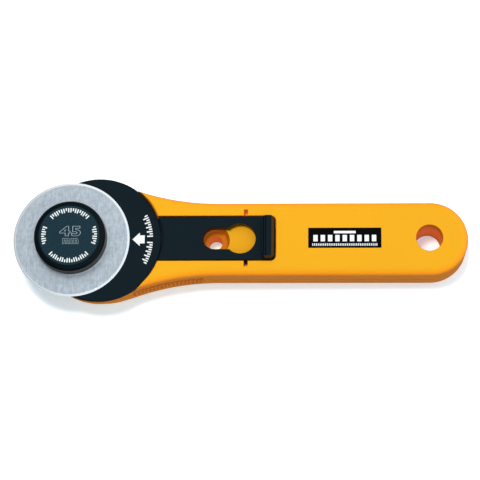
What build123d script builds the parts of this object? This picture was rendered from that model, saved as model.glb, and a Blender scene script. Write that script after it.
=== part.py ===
from build123d import *
import os
from math import atan2, cos, degrees, radians, sin, sqrt

# A straight-handled rotary cutter: a round blade spins on a bolt at the head of a one-piece moulded
# handle, and a sliding cover with a thumb pad runs in a channel in the handle's front face.
#
# Frame, in millimetres: the origin is on the blade's axis at the outer face of the nut, +Z points
# from the nut to the blade, and +X points from the blade to the tail of the handle.
# The cover is drawn pulled back, with the blade bare.

# ---------------------------------------------------------------- driving sizes
# Blade
blade_diameter = 45.0
blade_thickness = 0.3
blade_bore_diameter = 8.0
bevel_width = 0.65
cutting_edge_thickness = 0.03

# Handle
handle_width = 28.7
handle_thickness = 17.8
tail_reach = 152.3  # blade axis to the tip of the tail
edge_radius = 3.2
head_inset = 0.7  # head inside the cover's disc
flare_start = 56.7  # blade axis to where the straight sides begin to flare
recess_depth = 4.1
hang_hole_diameter = 10.1
hang_hole_inset = 14.85  # tip of the tail to the middle of the hole
rim_break = 0.4  # softening of the moulded inner edges
head_thickness = 13.2  # head's back face to the handle's front face
head_edge_radius = 2.4
ramp_start = 18.0  # head's back slopes down to the grip's from here
ramp_end = 30.0
parting_width = 0.3
parting_depth = 0.15

# Finger ribs on both flanks of the neck
rib_count = 18
rib_pitch = 1.53
rib_radius = 0.45
rib_sink = 0.15  # rib's middle inside the wall
rib_height = 5.6
rib_setback = 6.4  # start of the flare to the rearmost rib
rib_panel_depth = 0.3
rib_panel_margin = 0.7

# Sliding cover
cover_travel = 10.5
cover_margin = 1.7  # cover's disc beyond the blade's edge, when closed
channel_end = 78.8  # blade axis to the rear end of the cover's channel
disc_sink = 1.9  # cover disc below the handle's face
shank_sink = 0.2  # cover shank below the handle's face
shank_width = 17.1
side_play = 0.3
cover_lift = 0.1  # running gap under the cover
crescent_width = 1.3
crescent_depth = 2.6
crescent_mouth = 0.4  # groove's width at the shank's sides
cover_edge = 0.35
keyhole_round_setback = 13.7  # channel's end to the middle of the keyhole's round end
keyhole_length = 9.9  # between the middles of its ends
keyhole_round_diameter = 11.9
keyhole_slot_width = 8.5

# Thumb pad on the cover's rear end
pad_length = 5.3
pad_height = 4.6
pad_corner = 1.8
pad_draft = 4.0  # degrees
pad_rear_height = 0.3  # pad's sloping rear edge above the shank
front_ridge_width = 0.85
middle_ridge_width = 0.5
top_ridge_width = 2.1
ridge_step = 0.15  # each ridge above the one in front
ridge_valley = 0.6
valley_width = 0.3

# Ears, their notches and track, and the tongue under the channel's rear lip
ear_setback = 11.5  # channel's end to the middle of the ears
ear_length = 1.3
ear_reach = 1.0
ear_thickness = 1.0
notch_length = 1.6
notch_reach = 2.4
track_play = 0.25
tongue_width = 9.0
tongue_reach = 1.0

# Moulded pocket and through hole in the neck, under the cover
pocket_diameter = 11.6
pocket_floor_diameter = 9.2
pocket_depth = 4.0
neck_hole_diameter = 5.6

# Bolt, cap, nut and washer
stem_flat_depth = 0.75
thread_diameter = 6.0
thread_pitch = 1.0
thread_groove = 0.5
thread_crest = 0.2
running_gap = 0.05
stem_fit = 0.1
cap_diameter = 27.8
cap_height = 6.05
cap_base_bevel = 0.4
cap_shoulder_drop = 0.5  # cap's rim to the top of its rounded shoulder
cap_shoulder_height = 0.9
cap_shoulder_inset = 0.75
cap_wall_lean = 0.15
cap_shoulder_radius = 0.45
cap_rim_radius = 12.2
cap_disc_radius = 11.7
cap_disc_thickness = 0.45
cap_disc_gap = 0.05
stem_head_size = 10.0  # across flats
stem_head_height = 2.2
cap_skin = 1.2  # plastic under the bolt's head
nut_proud = 2.5  # nut beyond the grip's back face
nut_diameter = 24.0
nut_scallops = 18
scallop_radius = 1.25
scallop_offset = 0.4  # scallop's middle outside the nut's edge
nut_seat_depth = 1.5
nut_seat_play = 1.0
nut_gap = 0.5
nut_outer_chamfer = 0.6
nut_inner_radius = 0.3
hex_size = 10.0  # across flats
hex_height = 4.8
washer_diameter = 16.0
washer_play = 0.4  # spring washer's bore over the bolt, on the diameter
washer_thickness = 0.4
washer_bow = 0.6
cap_washer_diameter = 28.4
cap_washer_thickness = 0.5
cap_washer_edge = 0.2

# Printed label
label_length = 27.9
label_width = 7.9
label_thickness = 0.15
label_sink = 0.1
label_setback = 26.35  # channel's end to the middle of the label

# ---------------------------------------------------------------- derived places
half_width = handle_width / 2
cover_radius = blade_diameter / 2 + cover_margin
head_radius = cover_radius - head_inset
stem_diameter = blade_bore_diameter - 2 * running_gap
stem_flats = stem_diameter - 2 * stem_flat_depth
washer_bore = blade_bore_diameter + washer_play
back_z = nut_proud
mid_z = nut_proud + handle_thickness / 2
face_z = back_z + handle_thickness
head_z = face_z - recess_depth
head_back_z = face_z - head_thickness
seat_z = head_back_z + nut_seat_depth
tail_centre_x = tail_reach - half_width
hang_hole_x = tail_reach - hang_hole_inset
head_centre_x = cover_travel
recess_radius = cover_radius + side_play
rib_start = flare_start - rib_setback
ear_x = channel_end - ear_setback
keyhole_round_x = channel_end - keyhole_round_setback
keyhole_slot_x = keyhole_round_x - keyhole_length
label_x = channel_end + label_setback
channel_width = shank_width + 2 * side_play

# The concave flare is tangent to the straight side and to the round head.
flare_run = flare_start - head_centre_x
flare_radius = (flare_run**2 + half_width**2 - head_radius**2) / (2 * head_radius - handle_width)
flare_centre_y = half_width + flare_radius
flare_angle = degrees(atan2(flare_centre_y, flare_run))

# The crescent's arc nearly meets the disc's edge at the shank's two sides.
disc_corner_x = head_centre_x + sqrt(cover_radius**2 - (shank_width / 2) ** 2)
crescent_side_x = disc_corner_x + crescent_mouth
crescent_sagitta = head_centre_x + cover_radius + crescent_width - crescent_side_x
crescent_radius = ((shank_width / 2) ** 2 + crescent_sagitta**2) / (2 * crescent_sagitta)
crescent_x = crescent_side_x + crescent_sagitta - crescent_radius

cover_z = head_z + cover_lift
disc_top_z = face_z - disc_sink
shank_top_z = face_z - shank_sink
pad_end_x = channel_end - side_play
pad_start_x = pad_end_x - pad_length
ear_slot_height = ear_thickness + 2 * track_play

blade_z = disc_top_z + cover_lift
blade_top_z = blade_z + blade_thickness
cap_washer_z = blade_top_z + running_gap
cap_z = cap_washer_z + cap_washer_thickness
cap_top_z = cap_z + cap_height
stem_head_z = cap_z + cap_skin
nut_top_z = seat_z - nut_gap
washer_space = washer_bow + washer_thickness + stem_fit
washer_recess_z = seat_z - washer_space
hex_z = washer_recess_z - hex_height
stem_end_z = hex_z + running_gap


def save(piece, name):
    """Labels a finished piece and writes its STEP file."""
    piece.part.label = name
    export_step(piece.part, f"parts/{name}.step")


def edges_at(piece, z, tolerance=0.001):
    """The edges of a piece that lie wholly in the plane at height z."""
    return piece.edges().filter_by_position(Axis.Z, z - tolerance, z + tolerance).filter_by(Plane.XY)


os.makedirs("parts", exist_ok=True)

# ---------------------------------------------------------------- handle
with BuildPart() as handle:
    with BuildSketch(Plane.XY.offset(back_z)) as outline:
        with BuildLine():
            CenterArc((head_centre_x, 0), head_radius, flare_angle, 180 - flare_angle)
            CenterArc(
                (flare_start, flare_centre_y), flare_radius, 180 + flare_angle, 90 - flare_angle
            )
            Line((flare_start, half_width), (tail_centre_x, half_width))
            CenterArc((tail_centre_x, 0), half_width, 0, 90)
            mirror(about=Plane.XZ)
        make_face()
    extrude(amount=handle_thickness)
    fillet(edges_at(handle, back_z) + edges_at(handle, face_z), edge_radius)

    # The head is thinner than the grip: its back slopes down to the grip's
    with BuildSketch(Plane.XZ):
        with BuildLine():
            Polyline(
                (-head_radius, back_z),
                (ramp_end, back_z),
                (ramp_start, head_back_z),
                (-head_radius, head_back_z),
                close=True,
            )
        make_face()
    extrude(amount=2 * head_radius, both=True, mode=Mode.SUBTRACT)
    fillet(edges_at(handle, head_back_z).filter_by(GeomType.CIRCLE), head_edge_radius)

    # Parting line of the mould, a fine groove round the middle of the wall
    with BuildSketch(Plane.XY.offset(mid_z - parting_width / 2)):
        add(outline.face())
        offset(amount=-parting_depth, mode=Mode.SUBTRACT)
    extrude(amount=parting_width, mode=Mode.SUBTRACT)

    # Round recess for the cover's disc and straight channel for its shank
    with BuildSketch(Plane.XY.offset(head_z)) as channel:
        with Locations((head_centre_x, 0)):
            Circle(recess_radius)
            Rectangle(channel_end - head_centre_x, channel_width, align=(Align.MIN, Align.CENTER))
        fillet(channel.vertices().group_by(Axis.X)[-1], pad_corner + side_play)
    extrude(amount=recess_depth, mode=Mode.SUBTRACT)
    straight_rims = edges_at(handle, face_z).filter_by(
        lambda e: abs(e.center().Y) < channel_width / 2 + 0.01 and e.center().X < channel_end + 0.01
    )
    fillet(straight_rims, rim_break)
    with Locations((head_centre_x, 0, face_z)):
        Cone(
            recess_radius,
            recess_radius + rim_break,
            rim_break,
            align=(Align.CENTER, Align.CENTER, Align.MAX),
            mode=Mode.SUBTRACT,
        )

    # Notches that the ears drop through, their tracks, and the pocket for the tongue
    with BuildSketch(Plane.XY.offset(head_z)):
        with Locations((ear_x, 0)):
            Rectangle(notch_length, channel_width + 2 * notch_reach)
    extrude(amount=recess_depth, mode=Mode.SUBTRACT)
    with BuildSketch(Plane.XY.offset(head_z)):
        with Locations((ear_x + notch_length / 2, 0)):
            Rectangle(
                cover_travel + notch_length,
                shank_width + 2 * (ear_reach + side_play),
                align=(Align.MAX, Align.CENTER),
            )
        with Locations((channel_end, 0)):
            Rectangle(2 * (tongue_reach + side_play), tongue_width + 2 * side_play)
    extrude(amount=ear_slot_height, mode=Mode.SUBTRACT)

    # Pocket and through hole in the neck
    with BuildSketch(Plane.XY.offset(head_z)):
        with Locations((keyhole_slot_x, 0)):
            Circle(pocket_diameter / 2)
    with BuildSketch(Plane.XY.offset(head_z - pocket_depth)):
        with Locations((keyhole_slot_x, 0)):
            Circle(pocket_floor_diameter / 2)
    loft(mode=Mode.SUBTRACT)
    with Locations((keyhole_slot_x, 0, back_z)):
        Cylinder(
            neck_hole_diameter / 2,
            handle_thickness,
            align=(Align.CENTER, Align.CENTER, Align.MIN),
            mode=Mode.SUBTRACT,
        )

    # Hanging hole through the tail
    with Locations((hang_hole_x, 0, back_z)):
        Cylinder(
            hang_hole_diameter / 2,
            handle_thickness,
            align=(Align.CENTER, Align.CENTER, Align.MIN),
            mode=Mode.SUBTRACT,
        )
    hang_rims = handle.edges().filter_by(GeomType.CIRCLE).filter_by(
        lambda e: abs(e.radius - hang_hole_diameter / 2) < 0.001 and e.center().X > label_x
    )
    fillet(hang_rims, rim_break)

    # Nut seat in the back, and the bolt hole with two flats that keep the bolt from turning
    with BuildSketch(Plane.XY.offset(head_back_z)):
        Circle(nut_diameter / 2 + nut_seat_play)
    extrude(amount=nut_seat_depth, mode=Mode.SUBTRACT)
    with BuildSketch(Plane.XY.offset(seat_z)):
        Circle(stem_diameter / 2 + stem_fit)
        Rectangle(blade_bore_diameter * 2, stem_flats + 2 * stem_fit, mode=Mode.INTERSECT)
    extrude(amount=head_z - seat_z, mode=Mode.SUBTRACT)

    # Label pocket
    with BuildSketch(Plane.XY.offset(face_z - label_sink)):
        with Locations((label_x, 0)):
            Rectangle(label_length, label_width)
    extrude(amount=label_sink, mode=Mode.SUBTRACT)

    # Finger ribs: upright ribs a pitch apart along each flare, in a shallow panel
    rib_run = (rib_count - 1) * rib_pitch
    panel_height = rib_height + 2 * rib_panel_margin
    rib_step = degrees(rib_pitch / flare_radius)
    first_rib = degrees((flare_start - rib_start) / flare_radius)
    for side in (1, -1):
        with BuildSketch(Plane.XY.offset(mid_z - panel_height / 2)):
            with Locations((flare_start, side * flare_centre_y)):
                Circle(flare_radius + rib_panel_depth)
            with Locations((rib_start - rib_run / 2, side * head_radius)):
                Rectangle(rib_run + 2 * rib_panel_margin, head_radius, mode=Mode.INTERSECT)
        extrude(amount=panel_height, mode=Mode.SUBTRACT)
        for i in range(rib_count):
            turn = radians(first_rib + i * rib_step)
            rib_x = flare_start - (flare_radius + rib_sink) * sin(turn)
            rib_y = flare_centre_y - (flare_radius + rib_sink) * cos(turn)
            with Locations((rib_x, side * rib_y, mid_z)):
                Cylinder(rib_radius, rib_height)
save(handle, "handle")

# ---------------------------------------------------------------- printed label
with BuildPart() as handle_label:
    with BuildSketch(Plane.XY.offset(face_z - label_sink)):
        with Locations((label_x, 0)):
            Rectangle(label_length, label_width)
    extrude(amount=label_thickness)
save(handle_label, "handle_label")

# ---------------------------------------------------------------- blade
with BuildPart() as blade:
    with BuildSketch(Plane.XZ):
        edge_z = blade_z + blade_thickness / 2
        bore_r = blade_bore_diameter / 2
        rim_r = blade_diameter / 2
        with BuildLine():
            Polyline(
                (bore_r, blade_z),
                (rim_r - bevel_width, blade_z),
                (rim_r, edge_z - cutting_edge_thickness / 2),
                (rim_r, edge_z + cutting_edge_thickness / 2),
                (rim_r - bevel_width, blade_top_z),
                (bore_r, blade_top_z),
                close=True,
            )
        make_face()
    revolve(axis=Axis.Z)
save(blade, "blade")

# ---------------------------------------------------------------- thumb pad of the cover
with BuildPart() as thumb_pad:
    # Three ridges across the pad, each a step above the one in front, and a sloping rear edge
    with BuildSketch(Plane.XZ):
        pad_top_z = shank_top_z + pad_height
        pad_points = [(pad_start_x, cover_z)]
        ridge_x = pad_start_x
        ridge_z = pad_top_z - 2 * ridge_step
        for ridge_width in (front_ridge_width, middle_ridge_width):
            pad_points.append((ridge_x, ridge_z))
            pad_points.append((ridge_x + ridge_width, ridge_z))
            pad_points.append((ridge_x + ridge_width + valley_width / 2, ridge_z - ridge_valley))
            ridge_x += ridge_width + valley_width
            ridge_z += ridge_step
        pad_points.append((ridge_x, ridge_z))
        pad_points.append((ridge_x + top_ridge_width, ridge_z))
        pad_points.append((pad_end_x, shank_top_z + pad_rear_height))
        pad_points.append((pad_end_x, cover_z))
        with BuildLine():
            Polyline(*pad_points, close=True)
        make_face()
    extrude(amount=shank_width / 2, both=True)
    with BuildSketch(Plane.XY.offset(cover_z)):
        with Locations(((pad_start_x + pad_end_x) / 2, 0)):
            RectangleRounded(pad_length, shank_width, pad_corner)
    extrude(amount=pad_top_z - cover_z + 1, taper=pad_draft, mode=Mode.INTERSECT)

# ---------------------------------------------------------------- sliding blade cover
with BuildPart() as cover_disc:
    with BuildSketch(Plane.XY.offset(cover_z)):
        with Locations((head_centre_x, 0)):
            Circle(cover_radius)
    extrude(amount=disc_top_z - cover_z)
    fillet(edges_at(cover_disc, disc_top_z), cover_edge)

with BuildPart() as blade_cover:
    with BuildSketch(Plane.XY.offset(cover_z)) as shank:
        with Locations((crescent_x, 0)):
            Rectangle(pad_end_x - crescent_x, shank_width, align=(Align.MIN, Align.CENTER))
        fillet(shank.vertices().group_by(Axis.X)[-1], pad_corner)
        # Keyhole over the neck hole
        with Locations(((keyhole_round_x + keyhole_slot_x) / 2, 0)):
            SlotCenterToCenter(
                keyhole_round_x - keyhole_slot_x, keyhole_slot_width, mode=Mode.SUBTRACT
            )
        with Locations((keyhole_round_x, 0)):
            Circle(keyhole_round_diameter / 2, mode=Mode.SUBTRACT)
    extrude(amount=shank_top_z - cover_z)
    fillet(edges_at(blade_cover, shank_top_z), cover_edge)

    # Crescent-shaped groove between the shank and the disc, narrowest at the shank's sides
    with BuildSketch(Plane.XY.offset(shank_top_z - crescent_depth)):
        with Locations((crescent_x, 0)):
            Circle(crescent_radius)
    extrude(amount=crescent_depth, mode=Mode.SUBTRACT)

    # Disc, and the slot in it for the bolt, as long as the cover's travel
    add(cover_disc.part)
    with BuildSketch(Plane.XY.offset(cover_z)):
        with Locations((cover_travel / 2, 0)):
            SlotCenterToCenter(cover_travel, stem_diameter + 2 * side_play)
    extrude(amount=disc_top_z - cover_z, mode=Mode.SUBTRACT)

    # Thumb pad, side ears and rear tongue
    add(thumb_pad.part)
    with BuildSketch(Plane.XY.offset(cover_z)):
        with Locations((ear_x, 0)):
            Rectangle(ear_length, shank_width + 2 * ear_reach)
            Rectangle(ear_length * 2, shank_width - 2 * ear_reach, mode=Mode.SUBTRACT)
        with Locations((pad_end_x, 0)):
            Rectangle(2 * tongue_reach, tongue_width)
    extrude(amount=ear_thickness)
save(blade_cover, "blade_cover")

# ---------------------------------------------------------------- bolt
with BuildPart() as bolt_stem:
    # Thread, drawn as rings a pitch apart
    with BuildSketch(Plane.XZ):
        crest_r = thread_diameter / 2
        turns = int((seat_z - stem_end_z) / thread_pitch)
        root_points = [(0, stem_end_z), (crest_r - thread_groove, stem_end_z)]
        for i in range(turns):
            ring_z = stem_end_z + i * thread_pitch
            root_points.append((crest_r, ring_z + (thread_pitch - thread_crest) / 2))
            root_points.append((crest_r, ring_z + (thread_pitch + thread_crest) / 2))
            root_points.append((crest_r - thread_groove, ring_z + thread_pitch))
        root_points += [(crest_r - thread_groove, seat_z), (0, seat_z)]
        with BuildLine():
            Polyline(*root_points, close=True)
        make_face()
    revolve(axis=Axis.Z)
    # Shank with two flats inside the handle, then the round journal that the blade spins on
    with BuildSketch(Plane.XY.offset(seat_z)):
        Circle(stem_diameter / 2)
        Rectangle(blade_bore_diameter * 2, stem_flats, mode=Mode.INTERSECT)
    extrude(amount=head_z - seat_z)
    with BuildSketch(Plane.XY.offset(head_z)):
        Circle(stem_diameter / 2)
    extrude(amount=stem_head_z - head_z)
    # Head, held inside the moulded cap
    with BuildSketch(Plane.XY.offset(stem_head_z)):
        RegularPolygon(stem_head_size / 2, 6, major_radius=False)
    extrude(amount=stem_head_height)
save(bolt_stem, "bolt_stem")

# ---------------------------------------------------------------- steel washer under the cap
with BuildPart() as cap_washer:
    with BuildSketch(Plane.XY.offset(cap_washer_z)):
        Circle(cap_washer_diameter / 2)
        Circle(stem_diameter / 2 + stem_fit, mode=Mode.SUBTRACT)
    extrude(amount=cap_washer_thickness)
    outer_edges = edges_at(cap_washer, cap_washer_z) + edges_at(cap_washer, cap_z)
    fillet(outer_edges.filter_by(lambda e: e.radius > stem_diameter), cap_washer_edge)
save(cap_washer, "cap_washer")

# ---------------------------------------------------------------- cap and its printed disc
with BuildPart() as bolt_cap:
    with BuildSketch(Plane.XZ):
        cap_r = cap_diameter / 2
        shoulder_top_z = cap_top_z - cap_shoulder_drop
        shoulder_base_z = shoulder_top_z - cap_shoulder_height
        with BuildLine():
            Polyline(
                (0, cap_z),
                (cap_r - cap_base_bevel, cap_z),
                (cap_r, cap_z + cap_base_bevel),
                (cap_r - cap_wall_lean, shoulder_base_z),
                (cap_r - cap_shoulder_inset, shoulder_top_z),
                (cap_rim_radius, cap_top_z),
                (0, cap_top_z),
                close=True,
            )
        make_face()
    revolve(axis=Axis.Z)
    shoulder_edges = edges_at(bolt_cap, shoulder_base_z) + edges_at(bolt_cap, shoulder_top_z)
    fillet(shoulder_edges, cap_shoulder_radius)
    # Seat of the printed disc, and the cavity moulded round the bolt's head
    with BuildSketch(Plane.XY.offset(cap_top_z - cap_disc_thickness)):
        Circle(cap_disc_radius + cap_disc_gap)
    extrude(amount=cap_disc_thickness, mode=Mode.SUBTRACT)
    add(bolt_stem.part, mode=Mode.SUBTRACT)
save(bolt_cap, "bolt_cap")

with BuildPart() as cap_disc:
    with BuildSketch(Plane.XY.offset(cap_top_z - cap_disc_thickness)):
        Circle(cap_disc_radius)
    extrude(amount=cap_disc_thickness - cap_disc_gap)
    fillet(edges_at(cap_disc, cap_top_z - cap_disc_gap), cap_disc_gap * 2)
save(cap_disc, "cap_disc")

# ---------------------------------------------------------------- nut
with BuildPart() as hex_nut:
    with BuildSketch(Plane.XY.offset(hex_z)):
        RegularPolygon(hex_size / 2, 6, major_radius=False)
        Circle(thread_diameter / 2 + running_gap, mode=Mode.SUBTRACT)
    extrude(amount=hex_height)
save(hex_nut, "hex_nut")

with BuildPart() as nut_knob:
    with BuildSketch():
        Circle(nut_diameter / 2)
        with PolarLocations(nut_diameter / 2 + scallop_offset, nut_scallops):
            Circle(scallop_radius, mode=Mode.SUBTRACT)
    extrude(amount=nut_top_z)
    chamfer(edges_at(nut_knob, 0), nut_outer_chamfer)
    fillet(edges_at(nut_knob, nut_top_z), nut_inner_radius)
    # Seat of the spring washer, and the pocket moulded round the hexagon nut
    with BuildSketch(Plane.XY.offset(washer_recess_z)):
        Circle(washer_diameter / 2 + side_play * 2)
    extrude(amount=washer_space, mode=Mode.SUBTRACT)
    with BuildSketch(Plane.XY.offset(hex_z)):
        RegularPolygon(hex_size / 2, 6, major_radius=False)
    extrude(amount=hex_height, mode=Mode.SUBTRACT)
save(nut_knob, "nut_knob")

# ---------------------------------------------------------------- spring washer, bowed about Y
with BuildPart() as spring_washer:
    bow_radius = ((washer_diameter / 2) ** 2 + washer_bow**2) / (2 * washer_bow)
    low_z = washer_recess_z + stem_fit / 2
    with BuildSketch(Plane.XZ):
        with Locations((0, low_z + washer_bow + washer_thickness - bow_radius)):
            Circle(bow_radius)
            Circle(bow_radius - washer_thickness, mode=Mode.SUBTRACT)
            Rectangle(
                washer_diameter * 2,
                bow_radius * 2,
                align=(Align.CENTER, Align.MIN),
                mode=Mode.INTERSECT,
            )
    extrude(amount=washer_diameter / 2, both=True)
    with BuildSketch(Plane.XY.offset(low_z - 1)):
        Circle(washer_diameter / 2)
        Circle(washer_bore / 2, mode=Mode.SUBTRACT)
    extrude(amount=washer_space + 2, mode=Mode.INTERSECT)
save(spring_washer, "spring_washer")
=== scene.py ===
"""Looks of a straight-handled rotary cutter, and the stage that it lies on.

Laid out as a Blender add-on and run as a script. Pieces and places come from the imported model; the marks
printed on the pieces are sized here.
"""

from math import cos, pi, radians, sin

import bmesh
import bpy
from bpy.props import FloatProperty, FloatVectorProperty, PointerProperty
from mathutils import Matrix, Vector
from mathutils.bvhtree import BVHTree


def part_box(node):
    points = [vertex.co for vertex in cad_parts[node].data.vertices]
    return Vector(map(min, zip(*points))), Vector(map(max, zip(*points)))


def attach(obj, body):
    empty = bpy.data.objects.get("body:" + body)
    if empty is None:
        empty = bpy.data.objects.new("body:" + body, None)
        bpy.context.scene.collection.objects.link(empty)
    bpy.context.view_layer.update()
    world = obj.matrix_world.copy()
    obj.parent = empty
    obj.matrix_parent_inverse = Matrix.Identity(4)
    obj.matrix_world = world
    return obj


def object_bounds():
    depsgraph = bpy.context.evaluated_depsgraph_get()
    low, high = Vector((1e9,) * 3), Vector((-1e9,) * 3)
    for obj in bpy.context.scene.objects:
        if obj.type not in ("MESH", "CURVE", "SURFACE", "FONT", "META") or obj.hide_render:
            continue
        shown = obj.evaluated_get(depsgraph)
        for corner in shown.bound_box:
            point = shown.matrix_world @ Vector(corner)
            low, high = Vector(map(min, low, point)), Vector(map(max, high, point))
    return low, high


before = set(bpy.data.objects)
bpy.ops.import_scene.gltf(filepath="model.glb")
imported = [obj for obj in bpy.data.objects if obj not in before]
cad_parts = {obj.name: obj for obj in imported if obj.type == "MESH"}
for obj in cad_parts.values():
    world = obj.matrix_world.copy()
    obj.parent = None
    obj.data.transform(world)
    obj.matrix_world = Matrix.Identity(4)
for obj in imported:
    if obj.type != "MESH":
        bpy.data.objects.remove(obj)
CAD_BOX = [list(corner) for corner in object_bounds()]

bl_info = {
    "name": "Rotary Cutter",
    "version": (1, 0, 0),
    "blender": (4, 5, 0),
    "location": "View3D > Sidebar > Rotary Cutter",
    "description": "Finishes, printed marks and a studio stage for a packed rotary cutter",
    "category": "Object",
}

MM = 0.001


# ---------------------------------------------------------------- colours, nodes and meshes
def linear(hex_colour):
    """A linear RGBA colour from an sRGB hex value."""
    channels = [int(hex_colour[i:i + 2], 16) / 255 for i in (1, 3, 5)]
    return tuple(c / 12.92 if c <= 0.04045 else ((c + 0.055) / 1.055) ** 2.4 for c in channels) + (1.0,)


def add_node(tree, kind, inputs=None, **settings):
    """Adds a node, sets its attributes, and gives each input a value or a link from an output socket."""
    node = tree.nodes.new(kind)
    for name, value in settings.items():
        setattr(node, name, value)
    for key, value in (inputs or {}).items():
        if isinstance(value, bpy.types.NodeSocket):
            tree.links.new(value, node.inputs[key])
        else:
            node.inputs[key].default_value = value
    return node


def noise(tree, place, size_mm, detail, roughness=0.5, distortion=0.0):
    """Cloudy noise with features of about the size given in millimetres."""
    inputs = {
        "Vector": place, "Scale": 1 / (size_mm * MM), "Detail": detail,
        "Roughness": roughness, "Distortion": distortion,
    }
    return add_node(tree, "ShaderNodeTexNoise", inputs).outputs["Fac"]


def remap(tree, value, start=0.0, end=1.0, low=0.0, high=1.0, smooth=False):
    """A value carried from the span start to end onto the span low to high, and held at its ends."""
    inputs = {"Value": value, "From Min": start, "From Max": end, "To Min": low, "To Max": high}
    kind = "SMOOTHSTEP" if smooth else "LINEAR"
    return add_node(tree, "ShaderNodeMapRange", inputs, interpolation_type=kind).outputs["Result"]


def blend_colours(tree, factor, first, second):
    """The colour that a factor blends from the first to the second."""
    # The Mix node keeps its colours in sockets 6 and 7 and gives their blend in output 2.
    node = add_node(tree, "ShaderNodeMix", {0: factor, 6: first, 7: second}, data_type="RGBA")
    return node.outputs[2]


def blend_numbers(tree, factor, first, second):
    """The number that a factor blends from the first to the second."""
    # The Mix node keeps its numbers in sockets 2 and 3 and gives their blend in output 0.
    return add_node(tree, "ShaderNodeMix", {0: factor, 2: first, 3: second}).outputs[0]


def bump(tree, height, strength, depth_mm):
    """A surface normal tilted by a height that runs over a depth in millimetres."""
    inputs = {"Height": height, "Strength": strength, "Distance": depth_mm * MM}
    return add_node(tree, "ShaderNodeBump", inputs).outputs["Normal"]


def new_material(name):
    """An empty node material; returns it, its node tree and the object's coordinates in metres."""
    material = bpy.data.materials.new(name)
    material.use_nodes = True
    tree = material.node_tree
    tree.nodes.clear()
    place = add_node(tree, "ShaderNodeTexCoord").outputs["Object"]
    return material, tree, place


def finish_material(tree, inputs):
    """Ends a node tree in one Principled shader with these inputs."""
    shader = add_node(tree, "ShaderNodeBsdfPrincipled", inputs)
    add_node(tree, "ShaderNodeOutputMaterial", {"Surface": shader.outputs["BSDF"]})


def rgba(colour):
    """A colour property as a node's four-number colour."""
    return tuple(colour)[:3] + (1.0,)


def shaded(colour, factor):
    """A colour made darker or lighter by a factor."""
    return tuple(min(1.0, c * factor) for c in tuple(colour)[:3]) + (1.0,)


def dress(node, material):
    """Puts a finish on every material slot of a CAD node."""
    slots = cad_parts[node].material_slots
    if not len(slots):
        raise RuntimeError(f"{node} has no material slot")
    for material_slot in slots:
        material_slot.material = material


def new_piece(name, bm, body, material):
    """Turns a bmesh into a piece that rides on a body and takes its finish from a slot."""
    bmesh.ops.recalc_face_normals(bm, faces=bm.faces)
    mesh = bpy.data.meshes.new(name)
    bm.to_mesh(mesh)
    bm.free()
    mesh.materials.append(material)
    piece = bpy.data.objects.new(name, mesh)
    bpy.context.scene.collection.objects.link(piece)
    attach(piece, body)
    return piece


def ink_heights(surface, thickness):
    """Bottom and top of a printed mark, which is sunk a quarter of its thickness into its surface."""
    return surface - thickness / 4, surface + thickness


def add_prism(bm, outline, low, high):
    """Adds a closed prism over a flat outline, from height low to high."""
    bottom = [bm.verts.new((x, y, low)) for x, y in outline]
    top = [bm.verts.new((x, y, high)) for x, y in outline]
    bm.faces.new(bottom[::-1])
    bm.faces.new(top)
    for i, vert in enumerate(bottom):
        j = (i + 1) % len(bottom)
        bm.faces.new((vert, bottom[j], top[j], top[i]))


def bar(x, y, length, width, angle=0.0):
    """Corners of a bar centred on a point, its length along the angle."""
    along = Vector((cos(angle), sin(angle))) * length / 2
    across = Vector((-sin(angle), cos(angle))) * width / 2
    middle = Vector((x, y))
    return [tuple(middle + p) for p in (-along - across, along - across, along + across, across - along)]


def ring_sector(centre, inner, outer, start, end, steps):
    """Corners of a piece of a flat ring between two radii and two angles."""
    turns = [start + (end - start) * i / steps for i in range(steps + 1)]
    outside = [(centre[0] + outer * cos(t), centre[1] + outer * sin(t)) for t in turns]
    inside = [(centre[0] + inner * cos(t), centre[1] + inner * sin(t)) for t in reversed(turns)]
    return outside + inside


def surface_height(node, x, y):
    """Height of a CAD node's upper surface at a place, found by a ray from above."""
    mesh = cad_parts[node].data
    tree = BVHTree.FromPolygons([v.co for v in mesh.vertices], [p.vertices for p in mesh.polygons])
    above = CAD_BOX[1][2] + 10 * MM
    hit = tree.ray_cast(Vector((x, y, above)), Vector((0, 0, -1)))
    if hit[0] is None:
        raise RuntimeError(f"{node} has no surface at {x:.4f}, {y:.4f}")
    return hit[0].z


# ---------------------------------------------------------------- sizes and colours a user would change
def colour(name, description, hex_colour):
    """A colour property whose default is an sRGB hex value."""
    return FloatVectorProperty(
        name=name, description=description, subtype="COLOR", size=3, min=0, max=1,
        default=linear(hex_colour)[:3],
    )


def size(name, description, millimetres):
    """A length property in scene units whose default is given in millimetres."""
    return FloatProperty(name=name, description=description, unit="LENGTH", default=millimetres * MM)


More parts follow.
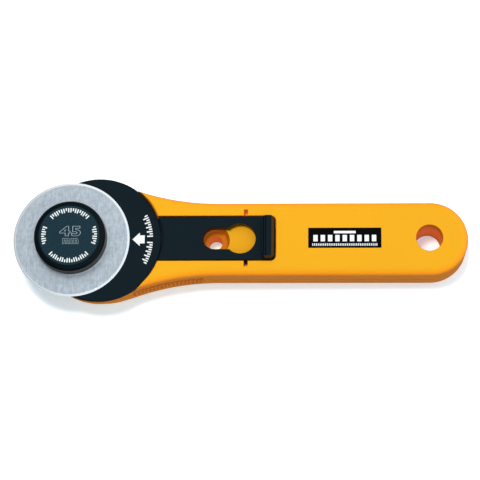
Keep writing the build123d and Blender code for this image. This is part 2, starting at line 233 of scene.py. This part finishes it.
class CutterColours(bpy.types.PropertyGroup):
    """Colours of the cutter's finishes."""

    handle: colour("Handle", "Yellow of the moulded handle", "#E4A41A")
    # Painted shade: the edge and side colours stand in for shade on the handle's rounded edges and side
    # walls
    handle_shaded_edge: colour("Handle edges", "Orange of the handle's plastic at its rounded edges", "#FA9A12")
    handle_shaded_side: colour("Handle sides", "Brownish orange of the handle's side walls", "#D27A08")
    # Painted light: the hollow colour brightens and warms the handle in its notches, pockets and holes
    handle_painted_hollow: colour("Handle hollows", "Orange of the handle's plastic in hollows", "#E0782A")
    cover: colour("Cover", "Black of the sliding cover", "#03131A")
    cap: colour("Cap", "Black of the cap over the blade", "#060F14")
    plate: colour("Plate", "Blue-black of the cap's printed plate", "#0C2833")
    nut: colour("Nut", "Black of the nut's knob", "#141A1D")
    blade: colour("Blade", "Tint of the blade's steel", "#F2F7FA")
    # Near white; the bevel shows it partly as a plain white surface, a painted highlight
    bevel: colour("Bevel", "Tint of the blade's ground bevel", "#F7F9FA")
    zinc: colour("Zinc", "Tint of the plated bolt and washer", "#D9DBDC")
    spring: colour("Spring steel", "Tint of the spring washer", "#A9ABAE")
    brass: colour("Brass", "Tint of the nut's brass insert", "#D8B468")
    film: colour("Label film", "Black of the label", "#040404")
    white_ink: colour("White ink", "Screen-printed marks", "#EEF3F4")
    grey_ink: colour("Grey ink", "Fine outlines on the plate", "#9FB3BB")


class CutterMarks(bpy.types.PropertyGroup):
    """Sizes of the printed marks."""

    ink_thickness: size("Ink thickness", "How far ink stands on a surface", 0.02)
    ring_inner: size("Ring inner radius", "Inner radius of the plate's ring of graduations", 9.0)
    ring_outer: size("Ring outer radius", "Outer radius of the plate's ring of graduations", 10.7)
    numeral_height: size("Numeral height", "Height of the blade size on the plate", 4.1)
    numeral_width: size("Numeral width", "Width of the blade size on the plate", 8.3)
    unit_height: size("Unit height", "Height of the unit under the blade size", 2.3)
    unit_width: size("Unit width", "Width of the unit under the blade size", 6.2)
    arrow_length: size("Arrow length", "Length of the arrow on the cover", 4.7)
    arrow_width: size("Arrow width", "Width of the arrow's head", 5.3)
    tick_width: size("Tick width", "Width of a graduation tick on the cover", 0.5)


class CutterStage(bpy.types.PropertyGroup):
    """Camera and light."""

    azimuth: FloatProperty(
        name="Azimuth", description="Camera's bearing, from -Y towards +X", subtype="ANGLE",
        default=radians(10.24),
    )
    elevation: FloatProperty(
        name="Elevation", description="Camera's height above the horizon", subtype="ANGLE",
        default=radians(75.76),
    )
    roll: FloatProperty(
        name="Roll", description="Camera's turn about its own axis", subtype="ANGLE",
        default=radians(-10.06),
    )
    distance: size("Distance", "Camera to the point it looks at", 694.3)
    target_x: size("Target X", "Point on the blade's plane that the camera looks at", 65.03)
    target_y: size("Target Y", "Point on the blade's plane that the camera looks at", -0.39)
    lens: FloatProperty(
        name="Lens", description="Focal length in millimetres on a 36 mm sensor", default=135.7,
    )
    key_energy: FloatProperty(
        name="Key light", description="Power of the soft light", subtype="POWER", default=6.7,
    )
    sky_strength: FloatProperty(
        name="Sky strength", description="Strength of the soft light from all round", min=0, default=0.95,
    )


# ---------------------------------------------------------------- finishes
def moulded_abs(name, base, shaded_edge, side, painted_hollow, *, roughness, grain_mm, relief_mm, gloss, drift, painted_glow):
    """ABS moulded against a lightly spark-eroded tool: a satin skin with a very fine even grain and a
    faint cloudiness where the melt flowed. Painted shade makes the colour darker and more orange as the
    surface slopes, towards the rounded edges and side walls, and darker still in grooves. Hollows take the
    hollow colour and a faint glow: painted light in place of light scattered inside the plastic where that
    colour is brighter, painted shade where it is darker."""
    material, tree, place = new_material(name)
    cloud = noise(tree, place, 22, 3.0)
    face = blend_colours(tree, cloud, shaded(base, drift), rgba(base))
    # 1 where the surface faces straight up or down, 0 where it is upright
    facing = add_node(tree, "ShaderNodeTexCoord").outputs["Normal"]
    upright = add_node(tree, "ShaderNodeSeparateXYZ", {0: facing}).outputs["Z"]
    level = add_node(tree, "ShaderNodeMath", {0: upright}, operation="ABSOLUTE").outputs[0]
    # Painted shade: as the surface turns from level to upright, the colour goes from the face's to the
    # shaded edge colour and then to the shaded side colour
    slope_shade = blend_colours(tree, remap(tree, level, 0.2, 0.7), side, shaded_edge)
    slope_shaded = blend_colours(tree, remap(tree, level, 0.7, 0.99), slope_shade, face)
    # 1 in the open, 0 deep in a hollow; other pieces and the floor don't count
    openness = add_node(
        tree, "ShaderNodeAmbientOcclusion", {"Distance": 12 * MM}, samples=8, only_local=True,
    ).outputs["AO"]
    # Painted shade: grooves and the feet of walls take a darker copy of the side colour
    groove_shaded = blend_colours(tree, remap(tree, openness, 0.6, 0.93), shaded(side, 0.7), slope_shaded)
    # Deep in hollows the colour turns to the hollow colour: painted light on the handle, where it is a
    # brighter orange, painted shade on the cap, where it is darker
    body = blend_colours(tree, remap(tree, openness, 0.15, 0.5), painted_hollow, groove_shaded)
    # Real grain is about 0.05 mm and too fine to show, so it is drawn at the size given.
    grain = noise(tree, place, grain_mm, 2.0)
    finish_material(tree, {
        "Base Color": body,
        "Roughness": remap(tree, grain, low=roughness - 0.05, high=roughness + 0.06),
        "IOR": 1.54,
        "Specular IOR Level": gloss,
        # Painted light: hollows glow faintly in the hollow colour, though the plastic is no lamp
        "Emission Color": painted_hollow,
        "Emission Strength": remap(tree, openness, 0.05, 0.7, painted_glow, 0.0) if painted_glow else 0.0,
        "Normal": bump(tree, grain, 0.35, relief_mm),
    })
    return material


def etched_plastic(name, base, roughness):
    """Black polypropylene or nylon from a fine-etched mould: a soft low sheen, slightly uneven where
    fingers rub it, over a grain that just breaks up the highlights."""
    material, tree, place = new_material(name)
    grain = noise(tree, place, 0.35, 3.0)
    rub = noise(tree, place, 9, 4.0)
    finish_material(tree, {
        "Base Color": blend_colours(tree, rub, shaded(base, 0.75), shaded(base, 1.3)),
        "Roughness": remap(tree, rub, 0.3, 0.7, roughness - 0.05, roughness + 0.07),
        "IOR": 1.49,
        "Specular IOR Level": 0.18,
        "Normal": bump(tree, grain, 0.3, 0.02),
    })
    return material


def printed_polycarbonate(name, base):
    """Polycarbonate sheet with a back-printed colour: a deep, nearly even blue-black under a smooth
    glossy face, with faint scuffs."""
    material, tree, place = new_material(name)
    depth = noise(tree, place, 6, 2.0)
    scuff = noise(tree, place, 1.2, 5.0, distortion=1.5)
    finish_material(tree, {
        "Base Color": blend_colours(tree, depth, shaded(base, 0.88), shaded(base, 1.1)),
        "Roughness": remap(tree, scuff, 0.35, 0.75, 0.2, 0.34),
        "IOR": 1.58,
        "Specular IOR Level": 0.18,
    })
    return material


def ground_blade_steel(name, base, bevel_highlight_tint, bevel_radius):
    """Tungsten tool steel, rolled and surface-ground: a cool satin face with a faint mottle and fine
    straight streaks, and a smoother bevel fresh from the grinding wheel, brighter partly from its polish
    and partly from plain white painted in as a highlight."""
    material, tree, place = new_material(name)
    mottle = noise(tree, place, 1.6, 5.0, roughness=0.65)
    # Grinding streaks are some 0.02 mm wide; they are drawn at 0.25 mm so that they show.
    streak_width, streak_length = 0.25 * MM, 4 * MM
    stretched = add_node(
        tree, "ShaderNodeMapping",
        {"Vector": place, "Scale": (1 / streak_width, 1 / streak_length, 1 / streak_length)},
    ).outputs[0]
    streaks = add_node(
        tree, "ShaderNodeTexNoise", {"Vector": stretched, "Scale": 1.0, "Detail": 3.0},
    ).outputs["Fac"]
    both = blend_numbers(tree, 0.45, mottle, streaks)
    face = blend_colours(tree, remap(tree, both, 0.4, 0.6), shaded(base, 0.78), shaded(base, 1.1))
    # The bevel is told from the face by its distance from the blade's axis, and is drawn wider than it
    # is by this much, so that so narrow a ring shows.
    widening = 0.2 * MM
    parts = add_node(tree, "ShaderNodeSeparateXYZ", {0: place})
    flat = add_node(tree, "ShaderNodeCombineXYZ", {0: parts.outputs["X"], 1: parts.outputs["Y"]})
    reach = add_node(tree, "ShaderNodeVectorMath", {0: flat.outputs[0]}, operation="LENGTH")
    bevel = add_node(
        tree, "ShaderNodeMath", {0: reach.outputs["Value"], 1: bevel_radius - widening},
        operation="GREATER_THAN",
    ).outputs[0]
    satin = remap(tree, both, low=0.34, high=0.48)
    finish_material(tree, {
        # The bevel takes its own near-white tint, partly shown as a painted highlight
        "Base Color": blend_colours(tree, bevel, face, rgba(bevel_highlight_tint)),
        # Painted highlight: part of a plain white surface in the bevel keeps it bright where it mirrors
        # something dark.
        "Metallic": remap(tree, bevel, low=1.0, high=0.65),
        "Roughness": blend_numbers(tree, bevel, satin, 0.2),
        "Normal": bump(tree, both, 0.25, 0.01),
    })
    return material


def turned_metal(name, base, roughness, ring_mm):
    """Turned or rolled metal: rings left by the tool show as a soft sparkle in the highlights. Real rings
    stand about 0.1 mm apart; they are drawn at the spacing given."""
    material, tree, place = new_material(name)
    # A wave texture at scale 1 goes through its pattern once in this length.
    repeat = 2 * pi / 20
    rings = add_node(
        tree, "ShaderNodeTexWave",
        {"Vector": place, "Scale": repeat / (ring_mm * MM), "Distortion": 1.2, "Detail": 3.0},
        wave_type="RINGS", rings_direction="Z",
    ).outputs["Fac"]
    stain = noise(tree, place, 2.5, 4.0)
    finish_material(tree, {
        "Base Color": blend_colours(tree, stain, shaded(base, 0.8), shaded(base, 1.08)),
        "Metallic": 1.0,
        "Roughness": remap(tree, rings, low=roughness - 0.07, high=roughness + 0.07),
        "Normal": bump(tree, rings, 0.2, 0.01),
    })
    return material


def screen_ink(name, base, roughness=0.5, gloss=0.3):
    """Screen-printed ink, alone or all over a film: flat and slightly chalky, a little thin in places
    where the mesh let less ink through."""
    material, tree, place = new_material(name)
    thin = noise(tree, place, 0.5, 2.0)
    finish_material(tree, {
        "Base Color": blend_colours(tree, thin, shaded(base, 0.82), rgba(base)),
        "Roughness": remap(tree, thin, low=roughness - 0.06, high=roughness + 0.08),
        "IOR": 1.5,
        "Specular IOR Level": gloss,
    })
    return material


# ---------------------------------------------------------------- the cutter's pieces
class CUTTER_OT_handle(bpy.types.Operator):
    """Gives the moulded handle its yellow ABS finish"""

    bl_idname = "cutter.handle"
    bl_label = "Handle"

    def execute(self, context):
        colours = context.scene.cutter_colours
        # The handle's edge and side colours are painted shade, and its hollow colour and glow are painted
        # light
        dress("handle", moulded_abs(
            "moulded_yellow_abs", colours.handle, rgba(colours.handle_shaded_edge), rgba(colours.handle_shaded_side),
            rgba(colours.handle_painted_hollow),
            roughness=0.4, grain_mm=0.4, relief_mm=0.02, gloss=0.1, drift=0.95, painted_glow=0.34,
        ))
        return {"FINISHED"}


class CUTTER_OT_label(bpy.types.Operator):
    """Finishes the handle's label and prints a generic motif on it: a bar, blocks and a fine scale"""

    bl_idname = "cutter.label"
    bl_label = "Label"

    def execute(self, context):
        colours, marks = context.scene.cutter_colours, context.scene.cutter_marks
        dress("handle_label", screen_ink("printed_black_film", colours.film, roughness=0.45, gloss=0.05))
        low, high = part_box("handle_label")
        middle = (low + high) / 2
        length, width = high.x - low.x, high.y - low.y
        base, top = ink_heights(high.z, marks.ink_thickness)
        bm = bmesh.new()

        def row(count, share, height, y, filled):
            """Bars in a row that takes a share of the label's length. Their height and the row's place
            are shares of its width, and each bar fills part of its pitch."""
            pitch = share * length / count
            for i in range(count):
                x = middle.x + (i - (count - 1) / 2) * pitch
                add_prism(bm, bar(x, middle.y + y * width, pitch * filled, height * width), base, top)

        row(count=1, share=0.3, height=0.12, y=0.28, filled=1.0)
        row(count=9, share=0.9, height=0.32, y=-0.02, filled=0.6)
        row(count=36, share=0.9, height=0.12, y=-0.34, filled=0.5)
        new_piece("label_print", bm, "body", screen_ink("white_label_ink", colours.white_ink))
        return {"FINISHED"}


class CUTTER_OT_blade(bpy.types.Operator):
    """Gives the blade its ground faces and bright bevel"""

    bl_idname = "cutter.blade"
    bl_label = "Blade"

    def execute(self, context):
        colours = context.scene.cutter_colours
        low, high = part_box("blade")
        rim = (high.x - low.x) / 2
        # The bevel starts at the outermost ring of vertices that lies on the blade's upper face.
        tolerance = 0.001 * MM
        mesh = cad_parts["blade"].data
        bevel_radius = max(v.co.xy.length for v in mesh.vertices if v.co.z > high.z - tolerance)
        # A bevel as wide as a fifth of the radius means that the ring found isn't the bevel's.
        if not 0.8 * rim < bevel_radius < rim:
            raise RuntimeError("the blade has no bevel")
        steel = ground_blade_steel("ground_tungsten_steel", colours.blade, colours.bevel, bevel_radius)
        dress("blade", steel)
        return {"FINISHED"}


class CUTTER_OT_cover(bpy.types.Operator):
    """Finishes the sliding cover, and prints its arrow and an arc of ticks"""

    bl_idname = "cutter.cover"
    bl_label = "Blade cover"

    def execute(self, context):
        colours, marks = context.scene.cutter_colours, context.scene.cutter_marks
        dress("blade_cover", etched_plastic("moulded_black_polypropylene", colours.cover, 0.42))
        low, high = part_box("blade_cover")
        disc_radius = (high.y - low.y) / 2
        disc_x = low.x + disc_radius
        # The arrow's tip stands this far behind the blade's edge.
        tip_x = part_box("blade")[1].x + 1.1 * MM
        tail_x = tip_x + marks.arrow_length
        base, top = ink_heights(surface_height("blade_cover", tail_x, 0.0), marks.ink_thickness)
        bm = bmesh.new()
        # An arrow towards the blade, whose head takes 0.6 of its length and whose shaft 0.6 of its width
        neck_x = tip_x + marks.arrow_length * 0.6
        head, shaft = marks.arrow_width / 2, marks.arrow_width * 0.3
        outline = [
            (tip_x, 0.0), (neck_x, -head), (neck_x, -shaft), (tail_x, -shaft),
            (tail_x, shaft), (neck_x, shaft), (neck_x, head),
        ]
        add_prism(bm, outline, base, top)
        # Two arcs of ticks near the disc's edge, tall ones and short ones in turn
        outer = disc_radius - 3.2 * MM
        tall, short = 2.2 * MM, 1.21 * MM
        first, step, count = radians(3.6), radians(2.6), 10
        for side in (1, -1):
            for i in range(count):
                turn = side * (first + i * step)
                length = short if i % 2 else tall
                reach = outer - length / 2
                place = (disc_x + reach * cos(turn), reach * sin(turn))
                add_prism(bm, bar(*place, length, marks.tick_width, turn), base, top)
        ink = screen_ink("white_cover_ink", colours.white_ink)
        new_piece("cover_print", bm, "cover", ink)
        return {"FINISHED"}


def outlined_figures(bm, text, place, box_size, base, top):
    """Adds text as thin outlines, fitted to a box centred on a place, between two heights."""
    curve = bpy.data.curves.new("figures", "FONT")
    curve.body = text
    curve.align_x, curve.align_y = "CENTER", "CENTER"
    curve.space_character = 1.15
    # In units of the text's own size: strokes swollen by the offset, outlined by a tube of this radius
    curve.offset = 0.035
    curve.bevel_depth = 0.02
    curve.fill_mode = "NONE"
    curve.bevel_resolution = 0
    curve.resolution_u = 3
    holder = bpy.data.objects.new("figures", curve)
    bpy.context.scene.collection.objects.link(holder)
    depsgraph = bpy.context.evaluated_depsgraph_get()
    mesh = bpy.data.meshes.new_from_object(holder.evaluated_get(depsgraph))
    bpy.data.objects.remove(holder)
    bpy.data.curves.remove(curve)
    xs, ys, zs = zip(*(v.co for v in mesh.vertices))
    middle = Vector((max(xs) + min(xs), max(ys) + min(ys))) / 2
    lowest = min(zs)
    scale_x = box_size[0] / (max(xs) - min(xs))
    scale_y = box_size[1] / (max(ys) - min(ys))
    scale_z = (top - base) / (max(zs) - lowest)
    for vert in mesh.vertices:
        vert.co = Vector((
            place[0] + (vert.co.x - middle.x) * scale_x,
            place[1] + (vert.co.y - middle.y) * scale_y,
            base + (vert.co.z - lowest) * scale_z,
        ))
    bm.from_mesh(mesh)
    bpy.data.meshes.remove(mesh)


class CUTTER_OT_cap(bpy.types.Operator):
    """Finishes the cap, its washer and its plate, and prints the blade size and a ring of graduations"""

    bl_idname = "cutter.cap"
    bl_label = "Cap"

    def execute(self, context):
        colours, marks = context.scene.cutter_colours, context.scene.cutter_marks
        dress("cap_washer", turned_metal("zinc_plated_washer", colours.zinc, 0.3, ring_mm=1.885))
        # Painted shade: the cap's side and hollow colours are darker copies of its black, on its side
        # walls, grooves and hollows
        dress("bolt_cap", moulded_abs(
            "moulded_black_abs", colours.cap, rgba(colours.cap), shaded(colours.cap, 0.5),
            shaded(colours.cap, 0.4),
            roughness=0.34, grain_mm=0.3, relief_mm=0.012, gloss=0.08, drift=0.8, painted_glow=0.0,
        ))
        dress("cap_disc", printed_polycarbonate("printed_polycarbonate", colours.plate))
        base, top = ink_heights(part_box("cap_disc")[1].z, marks.ink_thickness)
        # Ring of graduations in four groups: two long ones above and below, two short ones at the sides
        bm = bmesh.new()
        pitch, half_tick, shortening = radians(5.2), radians(1.3), 0.6 * MM
        long_group, short_group = 18, 8
        groups = ((pi / 2, long_group), (-pi / 2, long_group), (0, short_group), (pi, short_group))
        for middle, count in groups:
            for i in range(count):
                turn = middle + (i - (count - 1) / 2) * pitch
                # Every third tick is a short one
                inner = marks.ring_inner + (shortening if i % 3 == 1 else 0)
                start, end = turn - half_tick, turn + half_tick
                add_prism(bm, ring_sector((0, 0), inner, marks.ring_outer, start, end, steps=2), base, top)
        ring_ink = screen_ink("white_plate_ink", colours.white_ink)
        new_piece("plate_ring_print", bm, "body", ring_ink)
        # Blade size, drawn as outlines
        bm = bmesh.new()
        numerals_at, unit_at = (0.35 * MM, 1.6 * MM), (0.55 * MM, -2.3 * MM)
        outlined_figures(bm, "45", numerals_at, (marks.numeral_width, marks.numeral_height), base, top)
        outlined_figures(bm, "mm", unit_at, (marks.unit_width, marks.unit_height), base, top)
        fine_ink = screen_ink("grey_plate_ink", colours.grey_ink)
        new_piece("plate_size_print", bm, "body", fine_ink)
        return {"FINISHED"}


class CUTTER_OT_fastening(bpy.types.Operator):
    """Finishes the bolt, the nut's knob and brass insert, and the spring washer"""

    bl_idname = "cutter.fastening"
    bl_label = "Bolt and nut"

    def execute(self, context):
        colours = context.scene.cutter_colours
        dress("bolt_stem", turned_metal("zinc_plated_bolt", colours.zinc, 0.35, ring_mm=1.571))
        dress("spring_washer", turned_metal("blued_spring_steel", colours.spring, 0.38, ring_mm=1.885))
        dress("hex_nut", turned_metal("turned_brass", colours.brass, 0.3, ring_mm=1.571))
        dress("nut_knob", etched_plastic("moulded_black_nylon", colours.nut, 0.45))
        return {"FINISHED"}


# ---------------------------------------------------------------- stage
def aimed(place, target):
    """A matrix at a place whose -Z axis points at a target."""
    back = (Vector(place) - Vector(target)).normalized()
    side = Vector((0, 1, 0)).cross(back).normalized()
    turn = Matrix((side, back.cross(side), back)).transposed()
    return Matrix.Translation(place) @ turn.to_4x4()


def soft_light(name, place, target, width, height, energy, tint):
    """A rectangular soft light that points at a target."""
    light = bpy.data.lights.new(name, "AREA")
    light.shape = "RECTANGLE"
    light.size, light.size_y = width, height
    light.energy = energy
    light.color = linear(tint)[:3]
    holder = bpy.data.objects.new(name, light)
    holder.matrix_world = aimed(place, target)
    bpy.context.scene.collection.objects.link(holder)
    return holder


def studio_paper(name):
    """Matt white paper with a faint fibre cloudiness. It glows a little, as paper lit from behind does,
    which keeps the shadows on it pale and blue."""
    material, tree, place = new_material(name)
    fibre = noise(tree, place, 3, 4.0)
    finish_material(tree, {
        "Base Color": blend_colours(tree, fibre, linear("#EEF2F5"), linear("#F4F7F9")),
        "Roughness": 0.9,
        "Specular IOR Level": 0.1,
        "Emission Color": linear("#CFE9F6"),
        "Emission Strength": 0.44,
    })
    return material


def sloping_floor(name, material):
    """A floor under the cutter, which lies on the nut's rim and on the tail, so it passes under both."""
    nut_low, nut_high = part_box("nut_knob")
    handle_low, handle_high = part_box("handle")
    rise = (handle_low.z - nut_low.z) / (handle_high.x - nut_high.x)
    # Metres, so that its edge stays out of sight
    reach = 20.0
    bm = bmesh.new()
    corners = ((-reach, -reach), (reach, -reach), (reach, reach), (-reach, reach))
    bm.faces.new([bm.verts.new((nut_high.x + x, y, nut_low.z + rise * x)) for x, y in corners])
    mesh = bpy.data.meshes.new(name)
    bm.to_mesh(mesh)
    bm.free()
    mesh.materials.append(material)
    floor = bpy.data.objects.new(name, mesh)
    bpy.context.scene.collection.objects.link(floor)
    return floor


def light_tent(name, strength):
    """Soft light from all round. The walls are white above a grey skirt, which turns white on the right.
    The opening straight above is cooler, and the left side hangs in shade, so edges that face it stay
    darker than the others."""
    world = bpy.data.worlds.new(name)
    world.use_nodes = True
    tree = world.node_tree
    tree.nodes.clear()
    direction = add_node(tree, "ShaderNodeTexCoord").outputs["Generated"]
    parts = add_node(tree, "ShaderNodeSeparateXYZ", {0: direction})
    across, up = parts.outputs["X"], parts.outputs["Z"]
    # Each goes from 0 to 1 between two shares of the direction across or up.
    right_side = remap(tree, across, 0.5, 0.8, smooth=True)
    above_skirt = remap(tree, up, 0.2, 0.65, smooth=True)
    overhead = remap(tree, up, 0.72, 0.93, smooth=True)
    skirt = blend_colours(tree, right_side, linear("#4E5961"), linear("#FFFFFF"))
    wall = blend_colours(tree, above_skirt, skirt, linear("#F4F7FA"))
    tint = blend_colours(tree, overhead, wall, linear("#DFEDFA"))
    shade = remap(tree, across, -0.45, -0.05, low=0.3, smooth=True)
    power = add_node(tree, "ShaderNodeMath", {0: shade, 1: strength}, operation="MULTIPLY")
    sky = add_node(tree, "ShaderNodeBackground", {"Color": tint, "Strength": power.outputs[0]})
    add_node(tree, "ShaderNodeOutputWorld", {"Surface": sky.outputs[0]})
    return world


class CUTTER_OT_stage(bpy.types.Operator):
    """Builds the pale floor, the soft studio light and the camera"""

    bl_idname = "cutter.stage"
    bl_label = "Stage"

    def execute(self, context):
        scene, stage = context.scene, context.scene.cutter_stage
        floor = sloping_floor("floor", studio_paper("white_studio_paper"))
        # The cutter doesn't mirror the paper, so that its side walls keep their colour.
        floor.visible_glossy = False
        scene.world = light_tent("light_tent", stage.sky_strength)

        blade_low, blade_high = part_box("blade")
        target = Vector((stage.target_x, stage.target_y, (blade_low.z + blade_high.z) / 2))
        # High behind the head, in metres, and out of the cutter's reflections
        key_place, key_size = (-0.02, 0.12, 0.95), (0.2, 0.16)
        key = soft_light("key_light", key_place, target, *key_size, stage.key_energy, "#FFFAF2")
        key.visible_glossy = False

        bearing, height = stage.azimuth, stage.elevation
        back = Vector((sin(bearing) * cos(height), -cos(bearing) * cos(height), sin(height)))
        side = Vector((0, 0, 1)).cross(back).normalized()
        up = back.cross(side)
        right = side * cos(stage.roll) + up * sin(stage.roll)
        turn = Matrix((right, back.cross(right), back)).transposed()
        camera_data = bpy.data.cameras.new("camera")
        camera_data.lens = stage.lens
        camera_data.sensor_width = 36.0
        camera = bpy.data.objects.new("camera", camera_data)
        camera.matrix_world = Matrix.Translation(target + back * stage.distance) @ turn.to_4x4()
        scene.collection.objects.link(camera)
        scene.camera = camera
        scene.view_settings.view_transform = "Standard"
        return {"FINISHED"}


# ---------------------------------------------------------------- panel and registration
PIECES = (
    CUTTER_OT_handle, CUTTER_OT_label, CUTTER_OT_blade, CUTTER_OT_cover, CUTTER_OT_cap,
    CUTTER_OT_fastening, CUTTER_OT_stage,
)


class CUTTER_PT_panel(bpy.types.Panel):
    """Lists the cutter's pieces, colours and sizes"""

    bl_idname = "CUTTER_PT_panel"
    bl_label = "Rotary Cutter"
    bl_space_type = "VIEW_3D"
    bl_region_type = "UI"
    bl_category = "Rotary Cutter"

    def draw(self, context):
        for piece in PIECES:
            self.layout.operator(piece.bl_idname)
        for group in (context.scene.cutter_colours, context.scene.cutter_marks, context.scene.cutter_stage):
            box = self.layout.box()
            for name in group.bl_rna.properties.keys():
                if name not in ("rna_type", "name"):
                    box.prop(group, name)


CLASSES = (CutterColours, CutterMarks, CutterStage) + PIECES + (CUTTER_PT_panel,)


def register():
    """Registers the classes and hangs the property groups on the scene."""
    for cls in CLASSES:
        bpy.utils.register_class(cls)
    bpy.types.Scene.cutter_colours = PointerProperty(type=CutterColours)
    bpy.types.Scene.cutter_marks = PointerProperty(type=CutterMarks)
    bpy.types.Scene.cutter_stage = PointerProperty(type=CutterStage)


def unregister():
    """Takes the property groups and classes away again."""
    del bpy.types.Scene.cutter_stage
    del bpy.types.Scene.cutter_marks
    del bpy.types.Scene.cutter_colours
    for cls in reversed(CLASSES):
        bpy.utils.unregister_class(cls)


def main():
    """Finishes every piece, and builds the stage."""
    register()
    bpy.ops.cutter.handle()
    bpy.ops.cutter.label()
    bpy.ops.cutter.blade()
    bpy.ops.cutter.cover()
    bpy.ops.cutter.cap()
    bpy.ops.cutter.fastening()
    bpy.ops.cutter.stage()


if __name__ == "__main__":
    main()
